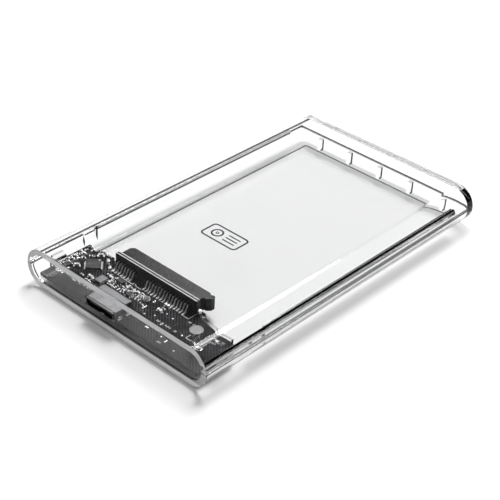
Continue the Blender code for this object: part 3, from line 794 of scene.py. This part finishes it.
# %% Choke coil
COIL_TURNS = 11
DRUM = ((0.98, 0.3, 0.0), (0.5, 1.0, 0.0), (0.62, 0.2, 0.8))    # radius, height and foot as shares
TURN_RING = 0.76
TURN_LEVEL = 0.55
TURN_RADIUS = 0.2
TURN_HALF_HEIGHT = 0.32
low, high = (Vector(corner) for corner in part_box("choke_coil"))
coil_middle = (low + high) / 2
coil_radius = (high.x - low.x) / 2
coil_height = high.z - low.z
drum, winding = bmesh.new(), bmesh.new()
for radius, share, lift in DRUM:
    height = share * coil_height
    middle = Vector((coil_middle.x, coil_middle.y, low.z + lift * coil_height + height / 2))
    bmesh.ops.create_cone(drum, cap_ends=True, segments=32, radius1=radius * coil_radius,
                          radius2=radius * coil_radius, depth=height,
                          matrix=Matrix.Translation(middle))
for turn_number in range(COIL_TURNS):
    angle = turn_number * math.tau / COIL_TURNS
    outward = Vector((math.cos(angle), math.sin(angle), 0))
    place = Matrix.Translation(Vector((coil_middle.x, coil_middle.y, low.z + TURN_LEVEL * coil_height))
                               + TURN_RING * coil_radius * outward)
    size = Matrix.Diagonal((TURN_RADIUS * coil_radius, TURN_RADIUS * coil_radius,
                            TURN_HALF_HEIGHT * coil_height, 1))
    bmesh.ops.create_uvsphere(winding, u_segments=10, v_segments=8, radius=1, matrix=place @ size)
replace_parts(link("choke_drum", drum, FERRITE), "choke_coil")
link("choke_winding", winding, TIN)

# %% [markdown]
# ## Drive socket details
# Each contact tail is soldered to its own pad, and the solder climbs the foot a little.
# A melted shape could be sculpted, but a low pool with a rounded step on it reads as
# solder from arm's length. Two thin near-white strips along the top of the block are a
# painted highlight. They stand for the light caught by the block's rounded top edges.

# %% Solder under the contact tails
TAILS = sorted(node for node in NODES if "_contact_" in node)
FOOT_LENGTH = 1 * MM
POOL = (1.5 * MM, 0.62 * MM, 0.16 * MM)
POOL_SHIFT = -0.2 * MM
CLIMB = (0.5 * MM, 0.5 * MM, 0.45 * MM)
CLIMB_SHIFT = 0.45 * MM
tail_solder = bmesh.new()
for node in TAILS:
    low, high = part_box(node)
    middle = Vector(((low[0] + high[0]) / 2, low[1] + FOOT_LENGTH / 2, PAD_LEVEL))
    foot = Block(middle, Vector((0, 1, 0)))
    add_block(tail_solder, foot, (POOL_SHIFT, 0), POOL, lift=ON_BOARD, round_edge=0.05 * MM)
    add_block(tail_solder, foot, (CLIMB_SHIFT, 0), CLIMB, lift=ON_BOARD, round_edge=0.14 * MM)
link("tail_solder", tail_solder, TIN)

# %% Painted highlight strips on the drive socket
SOCKET_LOW, SOCKET_HIGH = (Vector(corner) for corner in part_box("sata_housing"))
BLOCK_DEPTH = 1.6 * MM
SIDE_TAB = 1.5 * MM
HIGHLIGHT_STRIP = 0.28 * MM
HIGHLIGHT_FROM_LEFT = 0.2 * MM
HIGHLIGHTS_FROM_REAR = (0.14 * MM, 1.2 * MM)
socket_highlight_strips = bmesh.new()
block_rear = SOCKET_LOW.y + BLOCK_DEPTH
highlight_length = SOCKET_HIGH.x - SOCKET_LOW.x - SIDE_TAB
for step in HIGHLIGHTS_FROM_REAR:
    middle = Vector((SOCKET_LOW.x + HIGHLIGHT_FROM_LEFT + highlight_length / 2, block_rear - step, SOCKET_HIGH.z))
    highlight_place = Block(middle, Vector((1, 0, 0)))
    add_block(socket_highlight_strips, highlight_place, (0, 0), (highlight_length, HIGHLIGHT_STRIP, HIGHLIGHT_STRIP), lift=-HIGHLIGHT_STRIP / 2, round_edge=0.04 * MM)
# the two near-white strips are a painted highlight along the block's rounded top edges
link("socket_highlight_strips", socket_highlight_strips, HIGHLIGHT_WHITE)

# %% [markdown]
# ## USB socket details
# The mouth has two bays, and each holds a tongue with contacts on its lower face. The
# shell is stamped and folded, with spring slots in its roof and tabs soldered to the
# board on each side. The slots could be cut with a Boolean. They are laid on as dark
# hairlines instead, because nothing shows through them.

# %% Contacts and tabs of the USB socket
SHELL_LOW, SHELL_HIGH = (Vector(corner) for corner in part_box("usb_shell"))
SHELL_MIDDLE = (SHELL_LOW + SHELL_HIGH) / 2
USB_ROWS = ((-2.6 * MM, 0.65 * MM), (3.75 * MM, 0.4 * MM))      # middle and pitch of each row
USB_CONTACTS = 5
STRIP = (4 * MM, 0.22 * MM, 0.08 * MM)
STRIP_FROM_FRONT = 3 * MM
TONGUE_UNDER = SHELL_HIGH.z - 1.5 * MM
TAB = (1.3 * MM, 0.3 * MM, 0.9 * MM)
TAB_SOLDER = (1.9 * MM, 0.9 * MM, 0.14 * MM)
TAB_OUT = 0.2 * MM
AHEAD = Vector((0, 1, 0))
usb_contacts, usb_tabs = bmesh.new(), bmesh.new()
for shift, pitch in USB_ROWS:
    for i in range(USB_CONTACTS):
        x = SHELL_MIDDLE.x + shift + (i - (USB_CONTACTS - 1) / 2) * pitch
        strip = Block(Vector((x, SHELL_LOW.y + STRIP_FROM_FRONT, TONGUE_UNDER)), AHEAD)
        add_block(usb_contacts, strip, (0, 0), STRIP, lift=-STRIP[2] / 2)
for side in (-1, 1):
    for y in (SHELL_LOW.y + 3.1 * MM, SHELL_HIGH.y - 1.2 * MM):
        x = SHELL_MIDDLE.x + side * ((SHELL_HIGH.x - SHELL_LOW.x) / 2 + TAB_OUT)
        tab = Block(Vector((x, y, BOARD_TOP)), AHEAD)
        add_block(usb_tabs, tab, (0, 0), TAB, round_edge=0.08 * MM)
        add_block(usb_tabs, tab, (0, 0), TAB_SOLDER, round_edge=0.06 * MM)
link("usb_contacts", usb_contacts, GOLD)
link("usb_tabs", usb_tabs, TIN)

# %% Spring slots of the USB shell
SLOT_FROM_MIDDLE = 3.1 * MM
SLOT_FROM_FRONT = 4 * MM
SLOT_LENGTH = 3 * MM
SLOT_HALF = 0.45 * MM
HAIRLINE = (0.14 * MM, 0.02 * MM)       # width and height
shell_marks = bmesh.new()
for side in (-1, 1):
    x = SHELL_MIDDLE.x + side * SLOT_FROM_MIDDLE
    spring = Block(Vector((x, SHELL_LOW.y + SLOT_FROM_FRONT, SHELL_HIGH.z)), AHEAD)
    for across in (-SLOT_HALF, SLOT_HALF):
        add_block(shell_marks, spring, (0, across), (SLOT_LENGTH, *HAIRLINE), lift=-HAIRLINE[1] / 2)
    add_block(shell_marks, spring, (-SLOT_LENGTH / 2, 0),
              (HAIRLINE[0], 2 * SLOT_HALF + HAIRLINE[0], HAIRLINE[1]), lift=-HAIRLINE[1] / 2)
link("usb_shell_slots", shell_marks, PRINT)

# %% [markdown]
# ## Print and pads on the board
# White ink shows the fitter where parts go. There are outlines, pin marks and short rows
# of figures, which are drawn here as plain strokes that spell nothing. An image texture
# could hold them all, but thin raised strokes stay sharp from any distance. Vias are
# tiny plated holes that carry a track through the board.

# %% Outline and stroke helpers
INK = 0.02 * MM
INK_LINE = 0.16 * MM


def stroke(bm, start, end, width=INK_LINE):
    """A straight ink line between two places on the board."""
    start, end = Vector((*start, BOARD_TOP)), Vector((*end, BOARD_TOP))
    line = Block((start + end) / 2, (end - start).normalized())
    add_block(bm, line, (0, 0), ((end - start).length + width, width, INK))


def ring(bm, centre, size, corner, line, level, height):
    """A rounded outline lying flat: size along x and y, and the width of its line."""
    place = Matrix.Translation((*centre, level)) @ Matrix.Diagonal((*size, 1, 1))
    grid = bmesh.ops.create_grid(bm, x_segments=1, y_segments=1, size=0.5, matrix=place)
    rounded = bmesh.ops.bevel(bm, geom=grid["verts"], offset=corner, segments=8, affect="VERTICES",
                              profile=0.5, material=-1)
    faces = list({face for vert in rounded["verts"] for face in vert.link_faces})
    rim = bmesh.ops.inset_individual(bm, faces=faces, thickness=line, use_even_offset=True)
    bmesh.ops.delete(bm, geom=faces, context="FACES")
    raised = bmesh.ops.extrude_face_region(bm, geom=rim["faces"])
    verts = [item for item in raised["geom"] if isinstance(item, bmesh.types.BMVert)]
    bmesh.ops.translate(bm, verts=verts, vec=(0, 0, height))


# %% Figures that spell nothing
FIGURE_PITCH = 0.62 * MM
FIGURE_ROW = 1.05 * MM
FIGURE_HEIGHT = 0.6 * MM
FIGURE_LEAN = 0.34 * MM
FIGURE_LINE = 0.13 * MM


def figures(bm, start, rows, count, seed):
    """Rows of short strokes, as small print looks from arm's length."""
    chance = random.Random(seed)
    for row in range(rows):
        for i in range(count):
            x = start[0] + i * FIGURE_PITCH
            y = start[1] - row * FIGURE_ROW
            kind = chance.randrange(4)
            if kind == 3:
                continue
            lean = (0.0, FIGURE_LEAN, 0.0)[kind]
            stroke(bm, (x, y), (x + lean, y + FIGURE_HEIGHT), FIGURE_LINE)
            if kind == 2:
                middle = y + FIGURE_HEIGHT / 2
                stroke(bm, (x, middle), (x + FIGURE_HEIGHT / 2, middle), FIGURE_LINE)


# %% White ink: outlines of the drive socket and the light pipe
silk = bmesh.new()
pipe_low, pipe_high = (Vector(corner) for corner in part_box("light_pipe"))
pipe_middle = (pipe_low + pipe_high) / 2
socket_right = SOCKET_HIGH.x - 1.2 * MM
feet_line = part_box(TAILS[0])[0][1] - 0.5 * MM
stroke(silk, (socket_right - 3 * MM, feet_line), (socket_right, feet_line))
stroke(silk, (socket_right, feet_line), (socket_right, feet_line + 3.4 * MM))
stroke(silk, (SOCKET_LOW.x + 6 * MM, feet_line), (SOCKET_LOW.x + 15 * MM, feet_line))
lamp_left = pipe_middle.x - 4.6 * MM
lamp_right = lamp_left + 5.2 * MM
lamp_front = pipe_middle.y + 0.3 * MM
stroke(silk, (lamp_left, lamp_front + 2 * MM), (lamp_left, lamp_front))
stroke(silk, (lamp_left, lamp_front), (lamp_right, lamp_front))
stroke(silk, (lamp_right, lamp_front), (lamp_right, lamp_front + 2.6 * MM))

# %% White ink: figures and small outlines
# each row of figures: its start, the number of rows and of figures, and a seed
FIGURES = (((pipe_middle.x - 0.6 * MM, pipe_middle.y + 6.6 * MM), 3, 9, 3),
           ((socket_right + 1.2 * MM, feet_line - 1.2 * MM), 1, 4, 8),
           ((SHELL_HIGH.x + 7.6 * MM, SHELL_LOW.y + 9.2 * MM), 1, 17, 11),
           ((SHELL_HIGH.x + 16 * MM, SHELL_LOW.y + 3.4 * MM), 1, 3, 4))
for start, rows, count, seed in FIGURES:
    figures(silk, start, rows, count, seed)
for index, (x, y, turn) in enumerate(EXTRAS):
    if index % 2:
        side = Vector((-math.sin(turn), math.cos(turn))) * 0.5 * MM
        ahead = Vector((math.cos(turn), math.sin(turn))) * 0.4 * MM
        middle = Vector((x, y)) + side
        stroke(silk, middle - ahead, middle + ahead, 0.1 * MM)
link("board_print", silk, SILK)

# %% Vias and bare pads
VIA = (0.5 * MM, 0.5 * MM)
VIA_CORNER = 0.2 * MM
VIA_LINE = 0.13 * MM
BARE_PAD = (0.42 * MM, 0.55 * MM, 0.05 * MM)
PAD_SHIFT = 0.36 * MM
crowded = (BOARD_LOW[0] + 1 * MM, SHELL_HIGH.x + 2 * MM, BOARD_LOW[1] + 5 * MM, feet_line - 0.4 * MM)
bare = (SHELL_HIGH.x + 2 * MM, BOARD_HIGH[0] - 6 * MM, BOARD_LOW[1] + 2 * MM, feet_line - 0.4 * MM)
via_places = scatter(45, 0.25 * MM, CIRCLES, 21, crowded) + scatter(9, 0.4 * MM, CIRCLES, 6, bare)
vias = bmesh.new()
for x, y, _ in via_places:
    ring(vias, (x, y), VIA, VIA_CORNER, VIA_LINE, BOARD_TOP, INK)
pad_places = scatter(10, 0.6 * MM, CIRCLES, 9, crowded) + scatter(3, 1.2 * MM, CIRCLES, 2, bare)
for x, y, turn in pad_places:
    pad = Block(Vector((x, y, BOARD_TOP)), Vector((math.cos(turn), math.sin(turn), 0)))
    for side in (-PAD_SHIFT, PAD_SHIFT):
        add_block(vias, pad, (side, 0), BARE_PAD, round_edge=SOLDER_ROUND)
link("vias_and_pads", vias, TIN)
print("vias:", len(via_places), "pads:", len(pad_places))

# %% [markdown]
# ## Bead on the tray floor
# A fine raised bead frames the flat part of the tray's floor, where the drive lies, and
# runs on under the board. A drawn line would do from above, but not from the side. The
# bead is clear like the tray, and only its edges show, as a thin line.

# %% Bead on the tray floor
BEAD = 0.4 * MM
BEAD_HEIGHT = 0.25 * MM
BEAD_CORNER = 1 * MM
BEAD_HALF_WIDTH = 33 * MM
bead_near = BOARD_LOW[1] + 2.4 * MM
bead_far = frame["record"]["physics"]["openings"][0]["box_m"][1][1] - 0.3 * MM
bead = bmesh.new()
ring(bead, (0, (bead_near + bead_far) / 2), (2 * BEAD_HALF_WIDTH, bead_far - bead_near), BEAD_CORNER,
     BEAD, FLOOR_TOP, BEAD_HEIGHT)
link("bay_bead", bead, CLEAR)

# %% [markdown]
# ## Lid mark
# A small printed badge sits on the lid. Here it is a plain frame round a disc symbol and
# three bars. Ink could be a mask in the lid's material. As its own thin piece, riding
# with the lid, it leaves the clear plastic plain. It casts no shadow, or a second,
# blurred badge would show on the tray's floor.

# %% Lid mark
MARK_CENTRE = (0.5 * MM, -18 * MM)
MARK_SIZE = (15.5 * MM, 8 * MM)
MARK_CORNER = 1.6 * MM
MARK_LINE = 0.6 * MM
MARK_RAISED = 0.05 * MM
DISC_CENTRE = (MARK_CENTRE[0] - 3.2 * MM, MARK_CENTRE[1])
DISC_RINGS = ((4.4 * MM, 2.19 * MM, MARK_LINE), (1.2 * MM, 0.59 * MM, 0.3 * MM))   # width, corner, line
BAR = (5 * MM, 0.5 * MM, MARK_RAISED)
BAR_SHIFT = 3 * MM
BAR_PITCH = 1.6 * MM
lid_top = CAD_BOX[1][2]
mark = bmesh.new()
ring(mark, MARK_CENTRE, MARK_SIZE, MARK_CORNER, MARK_LINE, lid_top, MARK_RAISED)
for width, corner, line in DISC_RINGS:
    ring(mark, DISC_CENTRE, (width, width), corner, line, lid_top, MARK_RAISED)
for row in (-1, 0, 1):
    middle = Vector((MARK_CENTRE[0] + BAR_SHIFT, MARK_CENTRE[1] + row * BAR_PITCH, lid_top))
    add_block(mark, Block(middle, Vector((1, 0, 0))), (0, 0), BAR)
lid_mark = link("lid_mark", mark, PRINT, "lid")
lid_mark.visible_shadow = False
